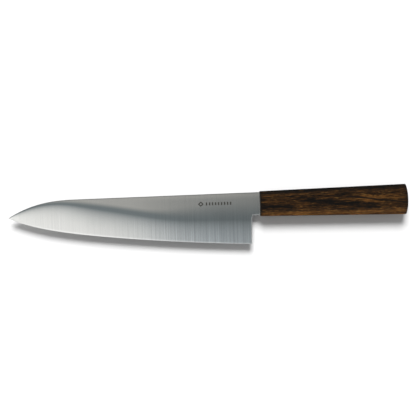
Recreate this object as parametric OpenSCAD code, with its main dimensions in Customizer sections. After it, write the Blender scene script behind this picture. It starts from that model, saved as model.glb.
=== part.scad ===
// Chef knife with a hidden tang in a one-piece octagonal wooden handle, lying on its right side.
// X runs along the handle's axis towards the butt, Y from the cutting edge towards the spine, Z up.
// Each piece is drawn round the centre of the handle's front face, and place() then sets the whole
// knife on the ground with its bounding box centred on the origin.

/* [Blade] */
// Length of the cutting edge, heel to tip
blade_length = 210; // [180:1:240]
// Height of the blade at the heel, edge to spine
blade_height = 44.65; // [42:0.05:48]
// Height of the spine above the handle's axis, at the neck
spine_rise = 10; // [9:0.1:10.4]
// Depth of the tip below the handle's axis
tip_drop = 5.8; // [4:0.1:8]
// Straight fall of the spine from the neck to the tip
spine_fall = 1.7; // [0.5:0.1:2.5]
// Part of the blade's length after which the spine curves down
nose_start = 0.72; // [0.6:0.01:0.8]
// Straight rise of the edge from heel to tip
belly_rise = 10; // [8:0.5:12]
// Curved rise of the edge from heel to tip
belly_curve = 11.5; // [9:0.5:13]
// Thickness of the spine at the heel
spine_thickness = 2.3; // [2.2:0.05:3]
// Thickness of the spine just behind the tip
tip_thickness = 0.8; // [0.5:0.05:1.2]
// Part of the heel's height that is flat, before the ground face starts
flat_part = 0.53; // [0.45:0.01:0.6]
// Height of the sharpened edge bevel
bevel_height = 0.9; // [0.6:0.1:1.5]
// Thickness of the blade where the edge bevel starts
bevel_thickness = 0.4; // [0.2:0.05:0.6]
// Lean of the heel's rear edge towards the handle, as run over rise
heel_lean = 0.04; // [0:0.01:0.08]

/* [Neck and tang] */
// Length of the neck between the heel and the handle
neck_length = 8.05; // [6:0.05:12]
// Depth of the neck below the handle's axis
neck_drop = 9.85; // [9:0.05:10.2]
// Radius of the fillet between the heel and the neck
choil_radius = 1.5; // [1:0.1:3]
// Length of the tang inside the handle
tang_length = 90; // [70:1:95]
// Height of the tang at the neck
tang_height = 11; // [9:0.1:11.4]
// Height of the tang at its rounded end
tang_end_height = 6; // [4:0.1:8]
// Thickness of the tang
tang_thickness = 2.2; // [1.8:0.05:2.2]

/* [Handle] */
// Length of the handle, with its domed butt
handle_length = 127.6; // [120:0.1:140]
// Thickness of the handle, between its two side facets
handle_thickness = 19; // [18:0.5:22]
// Height of the handle at its front face
front_height = 21.6; // [21:0.1:24]
// Height of the handle at its butt
butt_height = 26.2; // [24:0.1:30]
// Height of each slanted facet
facet_height = 6.05; // [5:0.05:7]
// Depth of each slanted facet across the thickness
facet_depth = 5.5; // [4.5:0.1:6.5]
// Bulge of the domed butt
butt_crown = 1.7; // [1:0.1:3]

/* [Bore and glue] */
// Radius of the bore that takes the tang
bore_radius = 6; // [5.9:0.1:6.5]
// Depth of the bore from the handle's front face
bore_depth = 100; // [98:1:110]
// Depth of the adhesive that closes the bore's mouth
mouth_depth = 1.5; // [1:0.1:3]
// Length of the two dowel halves beside the tang
dowel_length = 92.5; // [80:0.5:94]
// Width and height of the bead that seals the neck
seal_size = 0.4; // [0.2:0.05:0.5]

/* [Hidden] */
$fn = 96;
heel_drop = blade_height - spine_rise;
nose_drop = spine_rise - spine_fall + tip_drop;
nose_power = 2.5;
tip_rise = heel_drop - tip_drop - belly_rise - belly_curve;
tip_rise_power = 9;
// the flat narrows smoothly between these two shares of the blade's length, to a sliver beside the spine
narrow_from = 0.18;
narrow_to = 0.95;
least_flat = 0.06;
taper_power = 1.5;
// sections lower than this thin towards the point of the tip
tip_height = 6;
sections = 64;
section_crowding = 1.5;
section_points = 7;
crown_radius = (pow(butt_height / 2, 2) + pow(butt_crown, 2)) / (2 * butt_crown);
taper_angle = atan((butt_height - front_height) / (2 * handle_length));
knife_low = [-neck_length - blade_length, -heel_drop];
knife_high = [handle_length, butt_height / 2];
knife_centre = (knife_low + knife_high) / 2;
steel_colour = [0.68, 0.70, 0.70];
burnt_wood_colour = [0.16, 0.10, 0.07];
dowel_colour = [0.76, 0.62, 0.44];
adhesive_colour = [0.24, 0.17, 0.11];
seal_colour = [0.50, 0.50, 0.48];

// Outline of the blade; s is 0 at the heel and 1 at the tip
function station_x(s) = -neck_length - blade_length * s;
function nose_share(s) = max(0, (s - nose_start) / (1 - nose_start));
function spine_y(s) = spine_rise - spine_fall * s - nose_drop * pow(nose_share(s), nose_power);
function edge_y(s) = -heel_drop + belly_rise * s + belly_curve * s * s
    + tip_rise * pow(s, tip_rise_power);
function ease(t) = t * t * (3 - 2 * t);
function narrowing(s) = ease(min(1, max(0, (s - narrow_from) / (narrow_to - narrow_from))));
function flat_share(s) = flat_part - (flat_part - least_flat) * narrowing(s);

// Thickness of the flat at a section of the given height
function flat_thickness(s, height) =
    (spine_thickness - (spine_thickness - tip_thickness) * pow(s, taper_power))
    * sqrt(min(1, height / tip_height));

// Place along the knife of a point at height y; only the section at the heel leans
function leaned_x(s, y) = station_x(s) + (s == 0 ? heel_lean * (y + heel_drop) : 0);

// One cross-section: spine, ridge where the ground face starts, bevel shoulder, edge, and back up
function section(s) =
    let (top = spine_y(s), low = edge_y(s), height = top - low)
    let (half = flat_thickness(s, height) / 2, ridge = top - height * flat_share(s))
    let (shoulder = low + min(bevel_height, height / 4), thin = min(bevel_thickness / 2, half / 2))
    [
        [leaned_x(s, top), top, -half],
        [leaned_x(s, top), top, half],
        [leaned_x(s, ridge), ridge, half],
        [leaned_x(s, shoulder), shoulder, thin],
        [leaned_x(s, low), low, 0],
        [leaned_x(s, shoulder), shoulder, -thin],
        [leaned_x(s, ridge), ridge, -half],
    ];

// Sections crowd together towards the tip, where the outline curves most
function section_place(i) = 1 - pow(1 - i / sections, section_crowding);

module place() {
    translate([-knife_centre.x, -knife_centre.y, handle_thickness / 2]) children();
}

module ground_blade() {
    rings = [for (i = [0 : sections - 1]) section(section_place(i))];
    tip = [station_x(1), -tip_drop, 0];
    points = concat([for (ring = rings) each ring], [tip]);
    tip_index = sections * section_points;
    last_ring = tip_index - section_points;
    walls = [
        for (i = [0 : sections - 2])
            for (j = [0 : section_points - 1])
                let (a = i * section_points + j, b = i * section_points + (j + 1) % section_points)
                each [
                    [a, b, b + section_points],
                    [a, b + section_points, a + section_points],
                ]
    ];
    heel_face = [for (j = [section_points - 1 : -1 : 0]) j];
    tip_faces = [
        for (j = [0 : section_points - 1])
            [last_ring + j, last_ring + (j + 1) % section_points, tip_index]
    ];
    polyhedron(points, concat(walls, [heel_face], tip_faces), convexity = 4);
}

// Flat stretch between the heel and the handle, with the rounded choil under it
module neck() {
    choil_low = -neck_drop - choil_radius;
    choil_start = leaned_x(0, choil_low);
    choil_end = choil_start + choil_radius;
    linear_extrude(spine_thickness, center = true)
        difference() {
            polygon([
                [leaned_x(0, spine_rise), spine_rise],
                [choil_start, choil_low],
                [choil_end, choil_low],
                [choil_end, -neck_drop],
                [0, -neck_drop],
                [0, spine_rise],
            ]);
            translate([choil_end, choil_low])
                circle(choil_radius);
        }
}

module tang() {
    end_radius = tang_end_height / 2;
    taper_end = tang_length - end_radius;
    linear_extrude(tang_thickness, center = true) {
        polygon([
            [0, -tang_height / 2],
            [taper_end, -end_radius],
            [taper_end, end_radius],
            [0, tang_height / 2],
        ]);
        translate([taper_end, 0])
            circle(end_radius);
    }
}

// Round stretch of the handle's bore, between two depths from the front face
module bore(from, to) {
    translate([from, 0, 0])
        rotate([0, 90, 0])
            cylinder(r = bore_radius, h = to - from);
}

// Blank of the handle with the three facets of its upper or lower half, which spread towards the butt
module faceted_half(side) {
    high = front_height / 2;
    wide = handle_thickness / 2;
    rotate([0, 0, side * taper_angle])
        translate([-butt_height, 0, 0])
            rotate([90, 0, 90])
                linear_extrude(handle_length + 2 * butt_height)
                    polygon([
                        [-side * 2 * butt_height, -wide],
                        [side * (high - facet_height), -wide],
                        [side * high, facet_depth - wide],
                        [side * high, wide - facet_depth],
                        [side * (high - facet_height), wide],
                        [-side * 2 * butt_height, wide],
                    ]);
}

// Round blank that holds the handle's flat front face and its domed butt
module domed_blank() {
    dome_start = handle_length - crown_radius;
    rotate([90, 0, 90])
        rotate_extrude() {
            square([butt_height, dome_start]);
            translate([0, dome_start])
                intersection() {
                    circle(crown_radius);
                    square([butt_height, crown_radius]);
                }
        }
}

module dowel_half(side) {
    wide = bore_radius - tang_thickness / 2;
    middle = side * (tang_thickness + wide) / 2;
    intersection() {
        bore(mouth_depth, mouth_depth + dowel_length);
        translate([mouth_depth + dowel_length / 2, 0, middle])
            cube([dowel_length, 2 * bore_radius, wide], center = true);
    }
}

module blade() {
    color(steel_colour) place() {
        ground_blade();
        neck();
        tang();
    }
}

module handle_body() {
    color(burnt_wood_colour) place()
        difference() {
            intersection() {
                faceted_half(1);
                faceted_half(-1);
                domed_blank();
            }
            bore(-1, bore_depth);
        }
}

module tang_dowel_left() {
    color(dowel_colour) place()
        dowel_half(1);
}

module tang_dowel_right() {
    color(dowel_colour) place()
        dowel_half(-1);
}

module tang_adhesive() {
    color(adhesive_colour) place()
        difference() {
            union() {
                bore(0, mouth_depth);
                bore(mouth_depth + dowel_length, bore_depth);
                intersection() {
                    bore(0, bore_depth);
                    translate([bore_depth / 2, 0, 0])
                        cube([bore_depth, 2 * bore_radius, tang_thickness], center = true);
                }
            }
            tang();
        }
}

module neck_seal() {
    neck_height = neck_drop + spine_rise;
    color(seal_colour) place()
        translate([-seal_size, (spine_rise - neck_drop) / 2, 0])
            rotate([90, 0, 90])
                linear_extrude(seal_size)
                    difference() {
                        square([neck_height + 2 * seal_size, spine_thickness + 2 * seal_size], center = true);
                        square([neck_height, spine_thickness], center = true);
                    }
}

blade();
handle_body();
tang_dowel_left();
tang_dowel_right();
tang_adhesive();
neck_seal();
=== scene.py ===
"""Looks of the chef knife: a satin steel blade in a burnt octagonal wooden handle, on a pale floor.

Lengths are in metres. X runs along the handle towards the butt, Y from the edge to the spine, Z up.
Shapes are drawn round the centre of the handle's front face and moved to where the frame has it.
"""

import math

import bmesh
import bpy
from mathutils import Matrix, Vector, noise


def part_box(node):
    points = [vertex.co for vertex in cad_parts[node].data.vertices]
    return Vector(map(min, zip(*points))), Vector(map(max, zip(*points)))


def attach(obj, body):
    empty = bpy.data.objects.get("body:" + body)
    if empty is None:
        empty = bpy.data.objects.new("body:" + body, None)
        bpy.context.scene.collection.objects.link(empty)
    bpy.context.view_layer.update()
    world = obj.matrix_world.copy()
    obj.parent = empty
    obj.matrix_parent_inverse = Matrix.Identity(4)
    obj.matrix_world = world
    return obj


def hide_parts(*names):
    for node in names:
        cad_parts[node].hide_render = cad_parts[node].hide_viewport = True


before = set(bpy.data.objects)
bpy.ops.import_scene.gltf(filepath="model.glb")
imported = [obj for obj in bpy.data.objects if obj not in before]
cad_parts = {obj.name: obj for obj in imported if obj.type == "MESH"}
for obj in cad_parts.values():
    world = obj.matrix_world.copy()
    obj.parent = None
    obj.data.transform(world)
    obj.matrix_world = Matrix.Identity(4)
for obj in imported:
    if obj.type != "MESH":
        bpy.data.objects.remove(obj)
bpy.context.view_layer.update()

MM = 0.001

# ---------------------------------------------------------------- sizes read from the frame
HANDLE_LOW, HANDLE_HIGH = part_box("handle_body")
BLADE_LOW, BLADE_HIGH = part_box("blade")
DOWEL_LOW, DOWEL_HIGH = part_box("tang_dowel_left")
ORIGIN = Vector((HANDLE_LOW.x, (HANDLE_LOW.y + HANDLE_HIGH.y) / 2, (HANDLE_LOW.z + HANDLE_HIGH.z) / 2))

HANDLE_LENGTH = HANDLE_HIGH.x - HANDLE_LOW.x
HANDLE_THICKNESS = HANDLE_HIGH.z - HANDLE_LOW.z
SPINE_THICKNESS = BLADE_HIGH.z - BLADE_LOW.z
HEEL_DROP = ORIGIN.y - BLADE_LOW.y
SPINE_RISE = BLADE_HIGH.y - ORIGIN.y
TIP_REACH = ORIGIN.x - BLADE_LOW.x
TANG_LENGTH = BLADE_HIGH.x - ORIGIN.x

# ---------------------------------------------------------------- the blade's outline and sections
NECK_LENGTH = 8.05 * MM
BLADE_LENGTH = TIP_REACH - NECK_LENGTH
NECK_DROP = 9.85 * MM
TIP_DROP = 5.8 * MM
SPINE_FALL = 1.7 * MM
NOSE_START = 0.72
NOSE_POWER = 2.5
BELLY_RISE = 10 * MM
BELLY_CURVE = 11.5 * MM
TIP_RISE = HEEL_DROP - TIP_DROP - BELLY_RISE - BELLY_CURVE
TIP_RISE_POWER = 9
TIP_THICKNESS = 0.8 * MM
TAPER_POWER = 1.5
TIP_HEIGHT = 6 * MM
FLAT_PART, LEAST_FLAT = 0.53, 0.06
NARROW_FROM, NARROW_TO = 0.18, 0.95
BEVEL_HEIGHT = 0.9 * MM
BEVEL_THICKNESS = 0.4 * MM
EDGE_HALF = 0.012 * MM
EDGE_ROUNDING = 0.004 * MM
HEEL_TURN, TIP_TURN = 0.13, 0.035
TURN_FROM, TURN_TO = 0.5, 0.8
CHOIL_RADIUS = 1.5 * MM
HEEL_LEAN = 0.04
CHOIL_START = -NECK_LENGTH + HEEL_LEAN * (HEEL_DROP - NECK_DROP - CHOIL_RADIUS)
SPINE_EASING = 0.75 * MM
TANG_HEIGHT = 11 * MM
TANG_END_HEIGHT = 6 * MM
TANG_THICKNESS = 2.2 * MM
TANG_EASING = 0.05 * MM
BORE_RADIUS = math.hypot((DOWEL_HIGH.y - DOWEL_LOW.y) / 2, TANG_THICKNESS / 2)

SIDE_STEPS = 56
CORNER_STEPS = 4

# ---------------------------------------------------------------- the mark on the blade
LOZENGE_X, LOZENGE_Y = -51.2 * MM, 1.2 * MM
LOZENGE_WIDE, LOZENGE_HIGH = 2.6 * MM, 2.3 * MM
LOZENGE_INNER = 0.45
TICK_COUNT = 9
TICK_START = -46.8 * MM
TICK_PITCH = 2.6 * MM
TICK_WIDTH = 1.2 * MM
TICK_LOW, TICK_HIGH = -0.1 * MM, 2.5 * MM
MARK_DEPTH = 0.04 * MM
MARK_PROUD = 0.012 * MM

# ---------------------------------------------------------------- the handle's sections
FRONT_HALF = 10.8 * MM
BUTT_HALF = 13.1 * MM
FACET_HEIGHT = 6.05 * MM
FACET_DEPTH = 5.5 * MM
BUTT_CROWN = 1.7 * MM
CROWN_RADIUS = (BUTT_HALF**2 + BUTT_CROWN**2) / (2 * BUTT_CROWN)
BORE_DEPTH = 100 * MM
ARRIS_RADIUS = 0.7 * MM
FRONT_EASING = 0.35 * MM
BUTT_EASING = 1.1 * MM
GROOVE_DEPTH = 0.07 * MM
GROOVE_FADE = 1.5 * MM
BORE_STEPS = 10
FRONT_STEPS = 4
LENGTH_STEPS = 170
BUTT_STEPS = 6
ARC_STEPS = 5
FACET_STEPS = 26
FACE_SHARES = (0.2, 0.4, 0.6, 0.8, 0.95)
DOME_SHARES = (0.9, 0.75, 0.6, 0.45, 0.3, 0.15)


def mix(a, b, t):
    """The value a share t of the way from a to b."""
    return a + (b - a) * t


def smoothstep(low, high, value):
    """0 up to low, 1 from high on, and a smooth step between them."""
    t = min(1.0, max(0.0, (value - low) / (high - low)))
    return t * t * (3 - 2 * t)


# ---------------------------------------------------------------- mesh helpers
def new_object(name, points, faces, smooth_angle=35):
    """A smooth-shaded mesh, with points given from the centre of the handle's front face."""
    mesh = bpy.data.meshes.new(name)
    mesh.from_pydata([Vector(p) + ORIGIN for p in points], [], faces)
    mesh.validate()
    mesh.shade_smooth()
    mesh.set_sharp_from_angle(angle=math.radians(smooth_angle))
    piece = bpy.data.objects.new(name, mesh)
    bpy.context.scene.collection.objects.link(piece)
    return piece


def loft_faces(ring_count, ring_size):
    """Quads between closed rings of the same size, one after the other."""
    return [
        (i * ring_size + j, i * ring_size + k, (i + 1) * ring_size + k, (i + 1) * ring_size + j)
        for i in range(ring_count - 1)
        for j in range(ring_size)
        for k in [(j + 1) % ring_size]
    ]


def fan(first, ring_size, centre, outward):
    """Triangles from a ring to one point in its middle."""
    pairs = [(first + j, first + (j + 1) % ring_size) for j in range(ring_size)]
    return [(a, b, centre) if outward else (b, a, centre) for a, b in pairs]


def store(piece, name, values):
    """Keeps one number for each point, for a material to read."""
    attribute = piece.data.attributes.new(name, "FLOAT", "POINT")
    attribute.data.foreach_set("value", values)


# ---------------------------------------------------------------- blade
def spine_y(s):
    """Height of the spine at a share s of the way from heel to tip."""
    nose = max(0.0, (s - NOSE_START) / (1 - NOSE_START))
    nose_drop = SPINE_RISE - SPINE_FALL + TIP_DROP
    return SPINE_RISE - SPINE_FALL * s - nose_drop * nose**NOSE_POWER


def edge_y(s):
    """Height of the cutting edge at a share s of the way from heel to tip."""
    return -HEEL_DROP + BELLY_RISE * s + BELLY_CURVE * s * s + TIP_RISE * s**TIP_RISE_POWER


def ridge_share(s):
    """Where the ground face starts, as a share of the way from spine to edge."""
    return FLAT_PART - (FLAT_PART - LEAST_FLAT) * smoothstep(NARROW_FROM, NARROW_TO, s)


def ridge_softness(s):
    """Half-width of the soft turn into the ground face: broad at the heel, crisp near the tip."""
    return mix(HEEL_TURN, TIP_TURN, smoothstep(TURN_FROM, TURN_TO, s))


def flat_half(s, height):
    """Half the thickness of the blade's flat, less where the blade is low."""
    thickness = mix(SPINE_THICKNESS, TIP_THICKNESS, s**TAPER_POWER)
    return thickness / 2 * math.sqrt(min(1.0, height / TIP_HEIGHT))


def corner_arc(half, radius):
    """(across, down) points round an eased corner that starts on the middle plane."""
    turns = [math.pi / 2 * k / CORNER_STEPS for k in range(CORNER_STEPS + 1)]
    arc = [(half - radius + radius * math.sin(t), radius - radius * math.cos(t)) for t in turns]
    return [(0.0, 0.0)] + arc


def blade_half(s):
    """(y, z) points from the middle of the spine down one side to the edge, and each one's share."""
    top, low = spine_y(s), edge_y(s)
    height = top - low
    half = flat_half(s, height)
    easing = min(SPINE_EASING, half / 2, height / 8)
    bevel = min(BEVEL_HEIGHT, height / 4)
    thin = min(BEVEL_THICKNESS / 2, half / 2)
    ridge, soft = ridge_share(s), ridge_softness(s)
    shoulder_share = 1 - bevel / height
    points = [(top - down, across) for across, down in corner_arc(half, easing)]
    start = easing / height
    for k in range(1, SIDE_STEPS + 1):
        share = mix(start, shoulder_share, k / SIDE_STEPS)
        past = share - ridge
        if past < -soft:
            ramp = 0.0
        elif past < soft:
            ramp = (past + soft) ** 2 / (4 * soft)
        else:
            ramp = past
        drop = ramp / (shoulder_share - ridge)
        points.append((top - share * height, mix(half, thin, drop)))
    points += [(mix(low + bevel, low, t), mix(thin, EDGE_HALF, t)) for t in (0.5, 1.0)]
    return points + [(low - EDGE_ROUNDING, 0.0)]


def bar_half(top, low, half, easing):
    """The same number of points round a plain bar, for the neck and the tang."""
    corner = corner_arc(half, easing)
    points = [(top - down, across) for across, down in corner]
    side_top, side_low = top - easing, low + easing
    points += [(mix(side_top, side_low, k / SIDE_STEPS), half) for k in range(1, SIDE_STEPS + 1)]
    middle = math.pi / 4
    points.append((low + easing - easing * math.sin(middle), half - easing + easing * math.cos(middle)))
    points.append((low, half - easing))
    return points + [(low, 0.0)]


def ring_at(x, half, lean=0.0):
    """Closed ring of a half section and its mirror image; lean slants it from its lowest point up."""
    low = half[-1][0]
    right = [(x + lean * (y - low), y, z) for y, z in half]
    left = [(px, y, -z) for px, y, z in right]
    return right[:-1] + left[:0:-1]


def ground_rings():
    """Rings from just behind the tip to the leaning heel."""
    stations = 150
    crowding = 1.5
    rings = []
    for i in range(1, stations + 1):
        s = 1 - (i / stations) ** crowding
        lean = HEEL_LEAN if i == stations else 0.0
        rings.append(ring_at(-NECK_LENGTH - BLADE_LENGTH * s, blade_half(s), lean))
    return rings


def bar_rings():
    """Rings of the neck, from the heel on, and of the tang."""
    half = SPINE_THICKNESS / 2
    fillet_steps = 6
    rings = []
    for i in range(fillet_steps + 1):
        turn = math.pi / 2 * i / fillet_steps
        x = CHOIL_START + CHOIL_RADIUS * (1 - math.cos(turn))
        low = -NECK_DROP - CHOIL_RADIUS + CHOIL_RADIUS * math.sin(turn)
        rings.append(ring_at(x, bar_half(SPINE_RISE, low, half, SPINE_EASING), HEEL_LEAN))
    rings.append(ring_at(0.0, bar_half(SPINE_RISE, -NECK_DROP, half, SPINE_EASING)))
    tang_half = TANG_THICKNESS / 2
    tang_steps, end_steps = 12, 8
    end_radius = TANG_END_HEIGHT / 2
    taper_end = TANG_LENGTH - end_radius
    for i in range(tang_steps + 1):
        t = i / tang_steps
        high = mix(TANG_HEIGHT / 2, end_radius, t)
        rings.append(ring_at(taper_end * t, bar_half(high, -high, tang_half, TANG_EASING)))
    for i in range(1, end_steps):
        turn = math.pi / 2 * i / end_steps
        high = end_radius * math.cos(turn)
        x = taper_end + end_radius * math.sin(turn)
        rings.append(ring_at(x, bar_half(high, -high, tang_half, TANG_EASING)))
    return rings


def flat_cap(first, size):
    """Faces across a mirrored ring, from its right side to its left."""
    faces = []
    for j in range(size // 2):
        corners = [j, j + 1, (size - j - 1) % size, (size - j) % size]
        faces.append([first + c for c in dict.fromkeys(corners)])
    return faces


def make_blade():
    """Two closed shells that meet at the heel: the ground blade, and the neck with the tang."""
    ground, bar = ground_rings(), bar_rings()
    size = len(ground[0])
    points = [p for ring in ground + bar for p in ring]
    bar_first = len(ground) * size
    tip, end = len(points), len(points) + 1
    points += [(-TIP_REACH, -TIP_DROP, 0), (TANG_LENGTH, 0, 0)]
    faces = fan(0, size, tip, False) + loft_faces(len(ground), size) + flat_cap(bar_first - size, size)
    faces += flat_cap(bar_first, size)
    faces += [[bar_first + corner for corner in face] for face in loft_faces(len(bar), size)]
    faces += fan(bar_first + (len(bar) - 1) * size, size, end, True)
    piece = new_object("satin_blade", points, faces)
    face_outward(piece)
    describe_surface(piece)
    return piece


def face_outward(piece):
    """Turns every face of each closed shell outwards."""
    work = bmesh.new()
    work.from_mesh(piece.data)
    bmesh.ops.recalc_face_normals(work, faces=work.faces)
    work.to_mesh(piece.data)
    work.free()


def describe_surface(piece):
    """Stores where each point lies on the blade, for the steel's material."""
    mesh = piece.data
    slack = 0.1 * MM
    shares, along, below_spine, above_edge = [], [], [], []
    for vertex in mesh.vertices:
        x, y, _ = vertex.co - ORIGIN
        s = min(1.0, max(0.0, (-x - NECK_LENGTH) / BLADE_LENGTH))
        top, low = spine_y(s), edge_y(s)
        if x > CHOIL_START - slack and y > -NECK_DROP - CHOIL_RADIUS - slack:
            above_edge.append(max(0.0, y + NECK_DROP))
        else:
            above_edge.append(max(0.0, y - low))
        shares.append(min(1.0, max(0.0, (top - y) / max(top - low, 1e-6))))
        along.append(s)
        below_spine.append(max(0.0, top - y))
    store(piece, "share", shares)
    store(piece, "along", along)
    store(piece, "below_spine", below_spine)
    store(piece, "above_edge", above_edge)
    uv = mesh.uv_layers.new(name="grind")
    for loop in mesh.loops:
        x, y, _ = mesh.vertices[loop.vertex_index].co
        uv.data[loop.index].uv = (x, y)


def blade_surface(x):
    """Height of the blade's flat over its middle plane."""
    s = (-x - NECK_LENGTH) / BLADE_LENGTH
    return flat_half(s, spine_y(s) - edge_y(s))


def mark_outlines():
    """Four-cornered outlines: the four sides of a lozenge, then a row of equal ticks."""
    x, y = LOZENGE_X, LOZENGE_Y
    outer = [(x + LOZENGE_WIDE, y), (x, y + LOZENGE_HIGH), (x - LOZENGE_WIDE, y), (x, y - LOZENGE_HIGH)]
    inner = [(mix(x, px, LOZENGE_INNER), mix(y, py, LOZENGE_INNER)) for px, py in outer]
    outlines = []
    for k in range(4):
        n = (k + 1) % 4
        outlines.append([outer[k], outer[n], inner[n], inner[k]])
    for k in range(TICK_COUNT):
        left = TICK_START + k * TICK_PITCH
        right = left + TICK_WIDTH
        outlines.append([(left, TICK_LOW), (right, TICK_LOW), (right, TICK_HIGH), (left, TICK_HIGH)])
    return outlines


def make_mark():
    """Plain etched lozenge with a row of equal ticks after it, a hair proud of the flat."""
    points, faces = [], []
    for outline in mark_outlines():
        base = len(points)
        points += [(x, y, blade_surface(x) - MARK_DEPTH) for x, y in outline]
        points += [(x, y, blade_surface(x) + MARK_PROUD) for x, y in outline]
        faces += [(base + 3, base + 2, base + 1, base), (base + 4, base + 5, base + 6, base + 7)]
        for k in range(4):
            n = (k + 1) % 4
            faces.append((base + k, base + n, base + 4 + n, base + 4 + k))
    return new_object("etched_mark", points, faces)


# ---------------------------------------------------------------- handle
def octagon(high, wide):
    """Rounded octagon as (y, z) points, the same count whatever its size."""
    low_corner, deep_corner = high - FACET_HEIGHT, wide - FACET_DEPTH
    corners = [
        Vector((high, deep_corner)), Vector((low_corner, wide)),
        Vector((-low_corner, wide)), Vector((-high, deep_corner)),
        Vector((-high, -deep_corner)), Vector((-low_corner, -wide)),
        Vector((low_corner, -wide)), Vector((high, -deep_corner)),
    ]
    ends = []
    for i, corner in enumerate(corners):
        before = (corners[i - 1] - corner).normalized()
        after = (corners[(i + 1) % 8] - corner).normalized()
        turn = math.pi - before.angle(after)
        reach = ARRIS_RADIUS * math.tan(turn / 2)
        ends.append((corner + before * reach, corner, corner + after * reach))
    points = []
    for i, (first, corner, last) in enumerate(ends):
        for k in range(ARC_STEPS):
            t = k / ARC_STEPS
            points.append(first * (1 - t) ** 2 + corner * (2 * t * (1 - t)) + last * t**2)
        following = ends[(i + 1) % 8][0]
        points += [last.lerp(following, k / FACET_STEPS) for k in range(FACET_STEPS)]
    return points


def section_at(x):
    """The handle's section, which grows from its front to its butt."""
    return octagon(mix(FRONT_HALF, BUTT_HALF, x / HANDLE_LENGTH), HANDLE_THICKNESS / 2)


def inset(points, distance):
    """The section drawn in towards the axis by a distance."""
    return [p * (1 - distance / p.length) for p in points]


def dome_x(p):
    """How far along the handle its crowned end is, over the point p of a section."""
    return HANDLE_LENGTH - CROWN_RADIUS + math.sqrt(CROWN_RADIUS**2 - p.length_squared)


def groove(x, p):
    """Depth of the open grain, long and narrow along the handle."""
    drift = noise.noise((x * 22, p.x * 40, p.y * 40)) * 1.4
    lines = noise.noise((x * 35, p.x * 1250 + drift, p.y * 1250 + drift))
    pores = noise.noise((x * 210, p.x * 2300, p.y * 2300 + 7))
    return GROOVE_DEPTH * (max(0.0, lines - 0.12) + 0.7 * max(0.0, pores - 0.25))


def front_rings():
    """From the bore's end out over the front face and round its eased rim."""
    front = section_at(0)
    inner = inset(front, FRONT_EASING)
    rings = []
    for k in range(BORE_STEPS + 1):
        depth = BORE_DEPTH * (1 - k / BORE_STEPS)
        rings.append([(depth, *(p.normalized() * BORE_RADIUS)) for p in front])
    for t in FACE_SHARES:
        rings.append([(0.0, *(p.normalized() * BORE_RADIUS).lerp(q, t)) for p, q in zip(front, inner)])
    for k in range(FRONT_STEPS + 1):
        turn = math.pi / 2 * k / FRONT_STEPS
        rim = inset(front, FRONT_EASING * (1 - math.sin(turn)))
        rings.append([(FRONT_EASING * (1 - math.cos(turn)), *p) for p in rim])
    return rings


def side_rings():
    """Along the handle, with its open grain faded out at both ends."""
    start, end = 2 * FRONT_EASING, HANDLE_LENGTH - BUTT_CROWN - 1.6 * BUTT_EASING
    rings = []
    for k in range(LENGTH_STEPS + 1):
        x = mix(start, end, k / LENGTH_STEPS)
        fade = max(0.0, min(1.0, (x - FRONT_EASING) / GROOVE_FADE, (end - x) / GROOVE_FADE))
        rings.append([(x, *(p - p.normalized() * (groove(x, p) * fade))) for p in section_at(x)])
    return rings


def butt_rings():
    """Round the butt's eased rim and over its dome."""
    butt = section_at(HANDLE_LENGTH - BUTT_CROWN)
    rings = []
    for k in range(BUTT_STEPS + 1):
        turn = math.pi / 2 * k / BUTT_STEPS
        rim = inset(butt, BUTT_EASING * (1 - math.cos(turn)))
        setback = BUTT_EASING * (1 - math.sin(turn))
        rings.append([(dome_x(p) - setback, *p) for p in rim])
    inner = inset(butt, BUTT_EASING)
    for t in DOME_SHARES:
        rings.append([(dome_x(p * t), *(p * t)) for p in inner])
    return rings


def make_handle():
    """One closed shell: the blind bore, the front face, the eight sides and the domed butt."""
    rings = front_rings() + side_rings() + butt_rings()
    size = len(rings[0])
    points = [p for ring in rings for p in ring]
    faces = loft_faces(len(rings), size)
    bore_end, apex = len(points), len(points) + 1
    points += [(BORE_DEPTH, 0, 0), (HANDLE_LENGTH, 0, 0)]
    faces += fan(0, size, bore_end, False)
    faces += fan((len(rings) - 1) * size, size, apex, True)
    return new_object("burnt_octagonal_handle", points, faces, 30)


# ---------------------------------------------------------------- node helpers
def connect(tree, socket, value):
    """Links a socket to another, or sets its own value."""
    if isinstance(value, bpy.types.NodeSocket):
        tree.links.new(value, socket)
    else:
        socket.default_value = value


def calc(tree, operation, *values):
    """One arithmetic step."""
    node = tree.nodes.new("ShaderNodeMath")
    node.operation = operation
    for socket, value in zip(node.inputs, values):
        connect(tree, socket, value)
    return node.outputs[0]


def spread(tree, value, low, high, out_low=0.0, out_high=1.0):
    """value taken smoothly from low..high to out_low..out_high, and held beyond them."""
    node = tree.nodes.new("ShaderNodeMapRange")
    node.interpolation_type = "SMOOTHSTEP"
    for socket, v in zip(node.inputs, (value, low, high, out_low, out_high)):
        connect(tree, socket, v)
    return node.outputs[0]


def blend(tree, factor, first, second, kind="MIX"):
    """The first colour taken to the second by a factor."""
    node = tree.nodes.new("ShaderNodeMix")
    node.data_type = "RGBA"
    node.blend_type = kind
    connect(tree, node.inputs[0], factor)
    connect(tree, node.inputs[6], first)
    connect(tree, node.inputs[7], second)
    return node.outputs[2]


def rgb(red, green, blue):
    """Opaque linear colour."""
    return (red, green, blue, 1.0)


def place_coords(tree):
    """Metres from the centre of the handle's front face."""
    coords = tree.nodes.new("ShaderNodeTexCoord")
    shift = tree.nodes.new("ShaderNodeVectorMath")
    shift.operation = "SUBTRACT"
    shift.inputs[1].default_value = ORIGIN
    tree.links.new(coords.outputs["Object"], shift.inputs[0])
    return shift.outputs[0]


def axes(tree, vector):
    """The x, y and z of a vector."""
    node = tree.nodes.new("ShaderNodeSeparateXYZ")
    connect(tree, node.inputs[0], vector)
    return node.outputs


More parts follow.
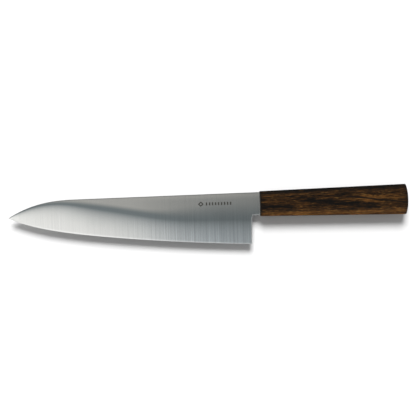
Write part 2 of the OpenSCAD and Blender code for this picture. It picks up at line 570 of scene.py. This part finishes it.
def vector_of(tree, x, y, z):
    """A vector from its three parts."""
    node = tree.nodes.new("ShaderNodeCombineXYZ")
    for socket, value in zip(node.inputs, (x, y, z)):
        connect(tree, socket, value)
    return node.outputs[0]


def scaled(tree, vector, scale):
    """A vector stretched by (x, y, z)."""
    node = tree.nodes.new("ShaderNodeVectorMath")
    node.operation = "MULTIPLY"
    connect(tree, node.inputs[0], vector)
    node.inputs[1].default_value = scale
    return node.outputs[0]


def fuzz(tree, vector, scale, detail=2.0, roughness=0.5, distortion=0.0):
    """Noise from 0 to 1 on coordinates scaled by (x, y, z) per metre."""
    node = tree.nodes.new("ShaderNodeTexNoise")
    connect(tree, node.inputs["Vector"], scaled(tree, vector, scale))
    node.inputs["Scale"].default_value = 1.0
    node.inputs["Detail"].default_value = detail
    node.inputs["Roughness"].default_value = roughness
    node.inputs["Distortion"].default_value = distortion
    return node.outputs[0]


def attribute(tree, name):
    """A number kept on the mesh."""
    node = tree.nodes.new("ShaderNodeAttribute")
    node.attribute_name = name
    return node.outputs["Fac"]


def bump(tree, height, distance, strength=1.0):
    """Normals tilted by a height from 0 to 1, over a distance."""
    node = tree.nodes.new("ShaderNodeBump")
    node.inputs["Strength"].default_value = strength
    node.inputs["Distance"].default_value = distance
    connect(tree, node.inputs["Height"], height)
    return node.outputs[0]


def new_material(name):
    """A material with its node tree and its shader."""
    material = bpy.data.materials.new(name)
    material.use_nodes = True
    tree = material.node_tree
    return material, tree, tree.nodes["Principled BSDF"]


# ---------------------------------------------------------------- runs for spread: from, to, value at each
# These go along the blade, from 0 at the heel to 1 at the tip.
TURN_START = (0.1, 0.45, -0.44, -0.15)
HEELWARD = (0.1, 0.62, 1.0, 0.0)
LAG_ENTRY = (0.1, 0.4, 0.0, 0.05)
LAG_EXIT = (0.6, 0.82, 1.0, 0.0)
RISE_RATE = (0.6, 0.95, -3.2, -6.0)
LINES_ENTRY = (0.0, 0.12, 0.6, 1.0)
LINES_EXIT = (0.25, 0.55, 1.0, 0.25)
# These go from spine to edge, the second one counted from the start of the ground face.
UPPER_SHADE = (0.01, 0.14)
LINES_DOWN = (-0.25, 0.05, 0.35, 1.0)
# These go away from an outline; the last three are painted highlights.
# Painted shade along the eased spine.
SPINE_SHADE_RUN = (0.35 * MM, 1.0 * MM, 0.4, 0.0)
EDGE_HIGHLIGHT = (0.6 * MM, 1.2 * MM, 0.45, 0.0)
HEEL_HIGHLIGHT = (0.5 * MM, 1.1 * MM, 0.4, 0.0)
COLLAR_HIGHLIGHT = (0.6 * MM, 1.3 * MM, 0.25, 0.0)

# ---------------------------------------------------------------- noise scales, per metre along x, y and z
COARSE_LINES = (330, 8, 40)
MEDIUM_LINES = (1050, 12, 60)
FINE_LINES = (4200, 60, 300)
STEEL_CLOUDS = (22, 34, 34)
WOOD_WANDER = (16, 70, 70)
WOOD_FIGURE = (24, 300, 300)
WOOD_GRAIN = (75, 820, 820)
WOOD_FIBRE = (210, 1250, 1250)
WOOD_FLECKS = (330, 1500, 1500)

# ---------------------------------------------------------------- colours
# Steel tones, partly finish and partly painted: the second flat tone is painted shade, the turn tone a
# painted dark reflection band, the second ground tone painted shade towards the heel.
WARM_FLAT, SHADED_FLAT = rgb(0.49, 0.49, 0.462), rgb(0.375, 0.385, 0.37)
TURN_STEEL_AND_REFLECTION = rgb(0.205, 0.236, 0.243)
PALE_GROUND, HEEL_SHADED_GROUND = rgb(0.95, 0.95, 0.92), rgb(0.60, 0.655, 0.68)
# Painted shade colour along the spine.
SPINE_SHADE_STEEL = rgb(0.10, 0.105, 0.105)
# Painted highlight colour along the steel's edge, heel and neck.
HIGHLIGHT_STEEL = rgb(0.92, 0.93, 0.92)
OXIDE_DARK, OXIDE_PALE = rgb(0.11, 0.107, 0.095), rgb(0.19, 0.186, 0.17)
CHAR, BROWN, AMBER = rgb(0.0075, 0.0058, 0.0045), rgb(0.060, 0.026, 0.0075), rgb(0.21, 0.088, 0.020)
FLECK = rgb(0.20, 0.115, 0.035)
INK = rgb(0.006, 0.006, 0.006)
# Painted shade colour for the handle's rounded ends.
PAINTED_END_SHADE = rgb(0.0085, 0.0065, 0.005)
BEECH_DARK, BEECH_PALE = rgb(0.42, 0.26, 0.13), rgb(0.66, 0.47, 0.28)
BEECH_FLECK = rgb(0.30, 0.17, 0.08)
RESIN_DARK, RESIN_PALE = rgb(0.030, 0.018, 0.009), rgb(0.075, 0.045, 0.022)
SEALANT_DARK, SEALANT_PALE = rgb(0.20, 0.20, 0.19), rgb(0.30, 0.30, 0.28)
FLOOR_DARK, FLOOR_PALE = rgb(0.63, 0.63, 0.63), rgb(0.65, 0.65, 0.65)


# ---------------------------------------------------------------- materials
def steel_tone_and_painted_reflection(tree, share, along, past):
    """Warm flat, soft dark turn, and a ground face that brightens to its edge: partly the finish of flat
    and ground face, partly painted reflection and painted shade.
    """
    heelward = spread(tree, along, *HEELWARD)
    # Painted reflection: a dark band over the turn into the ground face, partly the finish's own band.
    turn = spread(tree, past, spread(tree, along, *TURN_START), 0.0)
    # Painted reflection: the ground face fades in and brightens towards the edge.
    lag = calc(tree, "MULTIPLY", spread(tree, along, *LAG_ENTRY), spread(tree, along, *LAG_EXIT))
    inward = calc(tree, "MAXIMUM", calc(tree, "SUBTRACT", past, lag), 0.0)
    fall = calc(tree, "EXPONENT", calc(tree, "MULTIPLY", inward, spread(tree, along, *RISE_RATE)))
    rise = calc(tree, "SUBTRACT", 1.0, fall)
    # Painted shade on the flat below a thin strip at the spine, towards the heel.
    upper_shade = calc(tree, "MULTIPLY", spread(tree, share, *UPPER_SHADE), heelward)
    flat = blend(tree, upper_shade, WARM_FLAT, SHADED_FLAT)
    # Painted shade: the ground face darker and bluer towards the heel.
    ground = blend(tree, heelward, PALE_GROUND, HEEL_SHADED_GROUND)
    return blend(tree, rise, blend(tree, turn, flat, TURN_STEEL_AND_REFLECTION), ground)


def painted_rim_highlights(tree, x, y):
    """How much painted highlight the steel gets: along its edge, up the heel and where it meets the handle.
    """
    edge = spread(tree, attribute(tree, "above_edge"), *EDGE_HIGHLIGHT)
    heel_x = calc(tree, "MULTIPLY_ADD", y, HEEL_LEAN, HEEL_LEAN * HEEL_DROP - NECK_LENGTH)
    from_heel = calc(tree, "ABSOLUTE", calc(tree, "SUBTRACT", x, heel_x))
    under_neck = spread(tree, y, -NECK_DROP - 2.0 * MM, -NECK_DROP - 0.5 * MM, 1.0, 0.0)
    heel = calc(tree, "MULTIPLY", spread(tree, from_heel, *HEEL_HIGHLIGHT), under_neck)
    collar = spread(tree, calc(tree, "ABSOLUTE", x), *COLLAR_HIGHLIGHT)
    return calc(tree, "MAXIMUM", edge, calc(tree, "MAXIMUM", heel, collar))


def grinding_swing(tree, coarse, medium, along, past):
    """How much lighter or darker the grinding lines make the steel, most on the ground face."""
    lines = calc(tree, "ADD", calc(tree, "MULTIPLY", coarse, 0.15), calc(tree, "MULTIPLY", medium, 0.85))
    middle = calc(tree, "MULTIPLY", spread(tree, along, *LINES_ENTRY), spread(tree, along, *LINES_EXIT))
    strength = calc(tree, "MULTIPLY", middle, spread(tree, past, *LINES_DOWN))
    reach = calc(tree, "MULTIPLY", strength, 0.75)
    return calc(tree, "MULTIPLY", calc(tree, "SUBTRACT", lines, 0.5), reach)


def satin_steel():
    """Steel ground across the blade, from spine to edge."""
    material, tree, shader = new_material("satin_steel")
    where = place_coords(tree)
    x, y, _ = axes(tree, where)
    share, along = attribute(tree, "share"), attribute(tree, "along")
    ridge = spread(tree, along, NARROW_FROM, NARROW_TO, FLAT_PART, LEAST_FLAT)
    past = calc(tree, "SUBTRACT", share, ridge)
    coarse = fuzz(tree, where, COARSE_LINES, 1.0)
    medium = fuzz(tree, where, MEDIUM_LINES, 1.0)
    fine = fuzz(tree, where, FINE_LINES, 2.0)
    clouds = fuzz(tree, where, STEEL_CLOUDS, 3.0)

    colour = steel_tone_and_painted_reflection(tree, share, along, past)
    # Painted shade: a dark line along the eased spine.
    spine_shade = spread(tree, attribute(tree, "below_spine"), *SPINE_SHADE_RUN)
    colour = blend(tree, spine_shade, colour, SPINE_SHADE_STEEL)
    # Painted highlights along the edge, up the heel and at the neck by the handle.
    colour = blend(tree, painted_rim_highlights(tree, x, y), colour, HIGHLIGHT_STEEL)
    swing = grinding_swing(tree, coarse, medium, along, past)
    haze = calc(tree, "MULTIPLY", calc(tree, "SUBTRACT", clouds, 0.5), 0.14)
    tone = calc(tree, "ADD", calc(tree, "ADD", 1.0, swing), haze)
    colour = blend(tree, 1.0, colour, vector_of(tree, tone, tone, tone), "MULTIPLY")
    connect(tree, shader.inputs["Base Color"], colour)

    shader.inputs["Metallic"].default_value = 1.0
    rough = calc(tree, "ADD", 0.17, calc(tree, "MULTIPLY", fine, 0.08))
    connect(tree, shader.inputs["Roughness"], rough)
    shader.inputs["Anisotropic"].default_value = 0.6
    tangent = tree.nodes.new("ShaderNodeTangent")
    tangent.direction_type = "UV_MAP"
    tangent.uv_map = "grind"
    connect(tree, shader.inputs["Tangent"], tangent.outputs[0])
    relief = calc(tree, "ADD", calc(tree, "MULTIPLY", fine, 0.5), calc(tree, "MULTIPLY", medium, 0.5))
    connect(tree, shader.inputs["Normal"], bump(tree, relief, 0.004 * MM, 0.5))
    return material


def stroke(tree, x, y, start, end, half_width, wobble):
    """Soft mark round the straight line between two (x, y) places, thinned out at both ends."""
    run = end[0] - start[0]
    centre = height_on_line(tree, x, start, end)
    away = calc(tree, "ABSOLUTE", calc(tree, "SUBTRACT", calc(tree, "ADD", y, wobble), centre))
    across = spread(tree, away, half_width * 0.25, half_width, 1.0, 0.0)
    fade = abs(run) * 0.18
    entry = spread(tree, x, start[0] - fade, start[0] + fade)
    leave = spread(tree, x, end[0] - fade, end[0] + fade, 1.0, 0.0)
    return calc(tree, "MULTIPLY", across, calc(tree, "MULTIPLY", entry, leave))


def height_on_line(tree, x, start, end):
    """Where the straight line through two (x, y) places is at x."""
    slope = (end[1] - start[1]) / (end[0] - start[0])
    return calc(tree, "MULTIPLY_ADD", x, slope, start[1] - slope * start[0])


def wood_tone(tree, x, y, figure, grain, fibre, ragged):
    """Light or dark along the handle: streaks of soot and of paler wood over its grain, with painted shade
    along its upper side and painted light along its lower side.
    """
    soot = stroke(tree, x, y, (30 * MM, 3.5 * MM), (98 * MM, -5.2 * MM), 3.4 * MM, ragged)
    wedge = stroke(tree, x, y, (0, -2.2 * MM), (30 * MM, -3.6 * MM), 2.4 * MM, ragged)
    # Painted shade along the upper chamfer, which faces away from the light.
    painted_upper_shade = stroke(tree, x, y, (-5 * MM, 10.4 * MM), (135 * MM, 12.8 * MM), 3.6 * MM, ragged)
    flame = stroke(tree, x, y, (84 * MM, 2.6 * MM), (122 * MM, 1.6 * MM), 3.6 * MM, ragged)
    # Painted light along the lower chamfer.
    painted_lower_light = stroke(tree, x, y, (-5 * MM, -9.2 * MM), (135 * MM, -11 * MM), 3.0 * MM, ragged)
    body = calc(tree, "ADD", calc(tree, "MULTIPLY", figure, 0.4), calc(tree, "MULTIPLY", grain, 0.6))
    # Paler wood with painted light, then soot with painted shade.
    lit = calc(tree, "MULTIPLY", calc(tree, "ADD", flame, painted_lower_light), 0.09)
    dark = calc(tree, "MULTIPLY", calc(tree, "ADD", calc(tree, "ADD", soot, wedge), painted_upper_shade), 0.165)
    value = calc(tree, "SUBTRACT", calc(tree, "ADD", body, lit), dark)
    return calc(tree, "ADD", value, calc(tree, "MULTIPLY", calc(tree, "SUBTRACT", fibre, 0.5), 0.5))


def burnt_wood():
    """Burnt, oiled wood: near-black streaks over brown and orange-brown grain along the handle, with
    painted shade on its upper side and rounded ends and painted light on its lower side.
    """
    material, tree, shader = new_material("burnt_wood")
    where = place_coords(tree)
    x, y, z = axes(tree, where)
    wander = fuzz(tree, where, WOOD_WANDER, 2.0)
    drift = calc(tree, "MULTIPLY", calc(tree, "SUBTRACT", wander, 0.5), 7 * MM)
    bent = vector_of(tree, x, calc(tree, "ADD", y, drift), calc(tree, "ADD", z, drift))
    figure = fuzz(tree, bent, WOOD_FIGURE, 3.0, 0.6)
    grain = fuzz(tree, bent, WOOD_GRAIN, 3.0, 0.65)
    fibre = fuzz(tree, bent, WOOD_FIBRE, 2.0, 0.6)
    flecks = fuzz(tree, bent, WOOD_FLECKS, 1.0)
    ragged = calc(tree, "MULTIPLY", calc(tree, "SUBTRACT", grain, 0.5), 3.2 * MM)

    value = wood_tone(tree, x, y, figure, grain, fibre, ragged)
    colour = blend(tree, spread(tree, value, 0.33, 0.58), CHAR, BROWN)
    colour = blend(tree, spread(tree, value, 0.52, 0.74), colour, AMBER)
    where_lit = spread(tree, value, 0.42, 0.6, 0.0, 0.6)
    glint = calc(tree, "MULTIPLY", spread(tree, flecks, 0.56, 0.7), where_lit)
    colour = blend(tree, glint, colour, FLECK)
    fine_wobble = calc(tree, "MULTIPLY", ragged, 0.3)
    ink = stroke(tree, x, y, (72 * MM, 4.4 * MM), (130 * MM, -3.2 * MM), 1.0 * MM, fine_wobble)
    colour = blend(tree, calc(tree, "MULTIPLY", ink, 0.85), colour, INK)
    # Painted shade over the eased front rim and the domed butt.
    front_end, butt_end = spread(tree, x, 0.0, 2.5 * MM, 1.0, 0.0), spread(tree, x, 122 * MM, 127 * MM)
    ends = calc(tree, "MAXIMUM", front_end, butt_end)
    colour = blend(tree, calc(tree, "MULTIPLY", ends, 0.75), colour, PAINTED_END_SHADE)
    connect(tree, shader.inputs["Base Color"], colour)

    connect(tree, shader.inputs["Roughness"], spread(tree, grain, 0.3, 0.7, 0.62, 0.46))
    relief = calc(tree, "ADD", grain, calc(tree, "MULTIPLY", fibre, 0.5))
    connect(tree, shader.inputs["Normal"], bump(tree, relief, 0.05 * MM, 0.5))
    shader.inputs["Specular IOR Level"].default_value = 0.06
    return material


def etched_steel():
    """Dull grey-brown oxide of an etched mark."""
    material, tree, shader = new_material("etched_steel")
    where = place_coords(tree)
    speck = fuzz(tree, where, (3000, 3000, 3000), 2.0)
    connect(tree, shader.inputs["Base Color"], blend(tree, speck, OXIDE_DARK, OXIDE_PALE))
    shader.inputs["Metallic"].default_value = 0.5
    connect(tree, shader.inputs["Roughness"], spread(tree, speck, 0.3, 0.7, 0.5, 0.65))
    connect(tree, shader.inputs["Normal"], bump(tree, speck, 0.01 * MM, 0.5))
    return material


def pale_dowel():
    """Sawn pale wood with long grain and darker flecks."""
    material, tree, shader = new_material("sawn_beech")
    where = place_coords(tree)
    grain = fuzz(tree, where, (60, 1400, 1400), 3.0)
    flecks = fuzz(tree, where, (500, 2600, 2600), 1.0)
    colour = blend(tree, grain, BEECH_DARK, BEECH_PALE)
    colour = blend(tree, spread(tree, flecks, 0.6, 0.75, 0.0, 0.5), colour, BEECH_FLECK)
    connect(tree, shader.inputs["Base Color"], colour)
    connect(tree, shader.inputs["Roughness"], spread(tree, grain, 0.3, 0.7, 0.75, 0.6))
    connect(tree, shader.inputs["Normal"], bump(tree, grain, 0.06 * MM, 0.5))
    return material


def cured_adhesive(name, deep, pale, roughness):
    """Cloudy cured resin or sealant with fine specks."""
    material, tree, shader = new_material(name)
    where = place_coords(tree)
    cloud = fuzz(tree, where, (260, 260, 260), 3.0)
    specks = fuzz(tree, where, (2400, 2400, 2400), 1.0)
    colour = blend(tree, cloud, deep, pale)
    colour = blend(tree, spread(tree, specks, 0.68, 0.75, 0.0, 0.4), colour, pale)
    connect(tree, shader.inputs["Base Color"], colour)
    connect(tree, shader.inputs["Roughness"], spread(tree, cloud, 0.3, 0.7, roughness, roughness + 0.15))
    connect(tree, shader.inputs["Normal"], bump(tree, cloud, 0.05 * MM, 0.4))
    return material


def pale_floor():
    """Matt floor, faintly mottled."""
    material, tree, shader = new_material("pale_floor")
    where = place_coords(tree)
    mottling = fuzz(tree, where, (6, 6, 6), 2.0)
    connect(tree, shader.inputs["Base Color"], blend(tree, mottling, FLOOR_DARK, FLOOR_PALE))
    shader.inputs["Roughness"].default_value = 0.9
    shader.inputs["Specular IOR Level"].default_value = 0.1
    return material


def dress(piece, material):
    """Gives a piece its material."""
    piece.data.materials.clear()
    piece.data.materials.append(material)


# ---------------------------------------------------------------- studio
VIEW_CENTRE = Vector((-45.07 * MM, -2.30 * MM, 0.0))
VIEW_WIDTH = 359.8 * MM
VIEW_ROLL = -1.857
CAMERA_HEIGHT = 1.0
SENSOR = 36.0
FLOOR_REACH = 3.0
KEY_ENERGY, KEY_PLACE, KEY_SPREAD = 5.4, (0.0, 0.83, 1.0), math.radians(28)
FILL_ENERGY, FILL_PLACE, FILL_AIM, FILL_SIZE = 3.7, (0.2, -0.35, 1.0), (0.1, 0, 0), 0.6
# Brightness overhead by how far a direction leans along X or Y, as runs for spread.
OVER_FLAT = (-0.24, 0.14, 1.0, 0.37)
OVER_GROUND = (-0.13, 0.03, 1.3, 0.32)
BEYOND_TIP = (-0.3, -0.15, 0.62, 1.0)
EDGEWARD = (-0.11, -0.02, 1.0, 0.0)
CEILING_SIDE = (0.5, 0.9, 1.0, 0.0)
CEILING_FRONT = (-1.3, -0.8)
CEILING_BACK = (0.25, 0.5, 1.0, 0.0)
SURROUND = (0.2, 0.6, 0.55, 0.2)
LEAST_HEIGHT = 0.05


def make_camera():
    """Looks straight down, turned a little about its own axis."""
    data = bpy.data.cameras.new("camera")
    data.sensor_width = SENSOR
    data.lens = SENSOR * CAMERA_HEIGHT / VIEW_WIDTH
    camera = bpy.data.objects.new("camera", data)
    camera.location = ORIGIN + VIEW_CENTRE + Vector((0, 0, CAMERA_HEIGHT))
    camera.rotation_euler = (0, 0, math.radians(VIEW_ROLL))
    bpy.context.scene.collection.objects.link(camera)
    bpy.context.scene.camera = camera


def make_floor():
    """A wide flat floor under the knife."""
    reach = FLOOR_REACH
    corners = [(x, y, 0.0) for x, y in ((-reach, -reach), (reach, -reach), (reach, reach), (-reach, reach))]
    mesh = bpy.data.meshes.new("floor")
    mesh.from_pydata(corners, [], [(0, 1, 2, 3)])
    floor = bpy.data.objects.new("floor", mesh)
    bpy.context.scene.collection.objects.link(floor)
    mesh.materials.append(pale_floor())
    return floor


def link_light(light, receivers):
    """Lets a light shine only on the given objects."""
    group = bpy.data.collections.new(light.name + "_receivers")
    for o in receivers:
        group.objects.link(o)
    light.light_linking.receiver_collection = group


def add_light(name, kind, energy, location, aim, size):
    """A sun, whose size is an angle, or a round lamp, whose size is its width."""
    data = bpy.data.lights.new(name, kind)
    data.energy = energy
    if kind == "SUN":
        data.angle = size
    else:
        data.shape = "DISK"
        data.size = size
    light = bpy.data.objects.new(name, data)
    light.location = Vector(location)
    light.rotation_euler = (Vector(aim) - Vector(location)).to_track_quat("-Z", "Y").to_euler()
    bpy.context.scene.collection.objects.link(light)
    return light


def make_world():
    """A grey studio with a bright ceiling that is brighter over the tip than over the heel."""
    world = bpy.data.worlds.new("studio")
    bpy.context.scene.world = world
    world.use_nodes = True
    tree = world.node_tree
    shader = tree.nodes["Background"]
    coords = tree.nodes.new("ShaderNodeTexCoord")
    x, y, z = axes(tree, coords.outputs["Generated"])
    height = calc(tree, "MAXIMUM", z, LEAST_HEIGHT)
    lean_x = calc(tree, "DIVIDE", x, height)
    lean_y = calc(tree, "DIVIDE", y, height)
    over_flat = spread(tree, lean_x, *OVER_FLAT)
    over_ground = spread(tree, lean_x, *OVER_GROUND)
    beyond_tip = spread(tree, lean_x, *BEYOND_TIP)
    edgeward = spread(tree, lean_y, *EDGEWARD)
    step = calc(tree, "SUBTRACT", over_ground, over_flat)
    ceiling = calc(tree, "MULTIPLY_ADD", step, edgeward, over_flat)
    level = calc(tree, "MULTIPLY", ceiling, beyond_tip)
    side = spread(tree, calc(tree, "ABSOLUTE", lean_x), *CEILING_SIDE)
    front = spread(tree, lean_y, *CEILING_FRONT)
    back = spread(tree, lean_y, *CEILING_BACK)
    reach = calc(tree, "MULTIPLY", side, calc(tree, "MULTIPLY", front, back))
    surround = spread(tree, z, *SURROUND)
    level = calc(tree, "MULTIPLY_ADD", calc(tree, "SUBTRACT", level, surround), reach, surround)
    ray = tree.nodes.new("ShaderNodeLightPath")
    shown = blend(tree, ray.outputs["Is Camera Ray"], vector_of(tree, level, level, level), rgb(1, 1, 1))
    connect(tree, shader.inputs["Color"], shown)
    shader.inputs["Strength"].default_value = 1.0


# ---------------------------------------------------------------- build
make_camera()
floor = make_floor()

blade = make_blade()
dress(blade, satin_steel())
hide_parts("blade")
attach(blade, "root")

mark = make_mark()
dress(mark, etched_steel())
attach(mark, "root")

handle = make_handle()
dress(handle, burnt_wood())
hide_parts("handle_body")
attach(handle, "root")

dowel_material = pale_dowel()
for name in ("tang_dowel_left", "tang_dowel_right"):
    dress(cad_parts[name], dowel_material)
resin = cured_adhesive("tinted_resin", RESIN_DARK, RESIN_PALE, 0.25)
dress(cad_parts["tang_adhesive"], resin)
sealant = cured_adhesive("pale_sealant", SEALANT_DARK, SEALANT_PALE, 0.4)
dress(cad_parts["neck_seal"], sealant)

make_world()
key = add_light("floor_key", "SUN", KEY_ENERGY, KEY_PLACE, (0, 0, 0), KEY_SPREAD)
link_light(key, [floor])
fill = add_light("handle_fill", "AREA", FILL_ENERGY, FILL_PLACE, FILL_AIM, FILL_SIZE)
link_light(fill, [handle])

bpy.context.scene.view_settings.view_transform = "Standard"
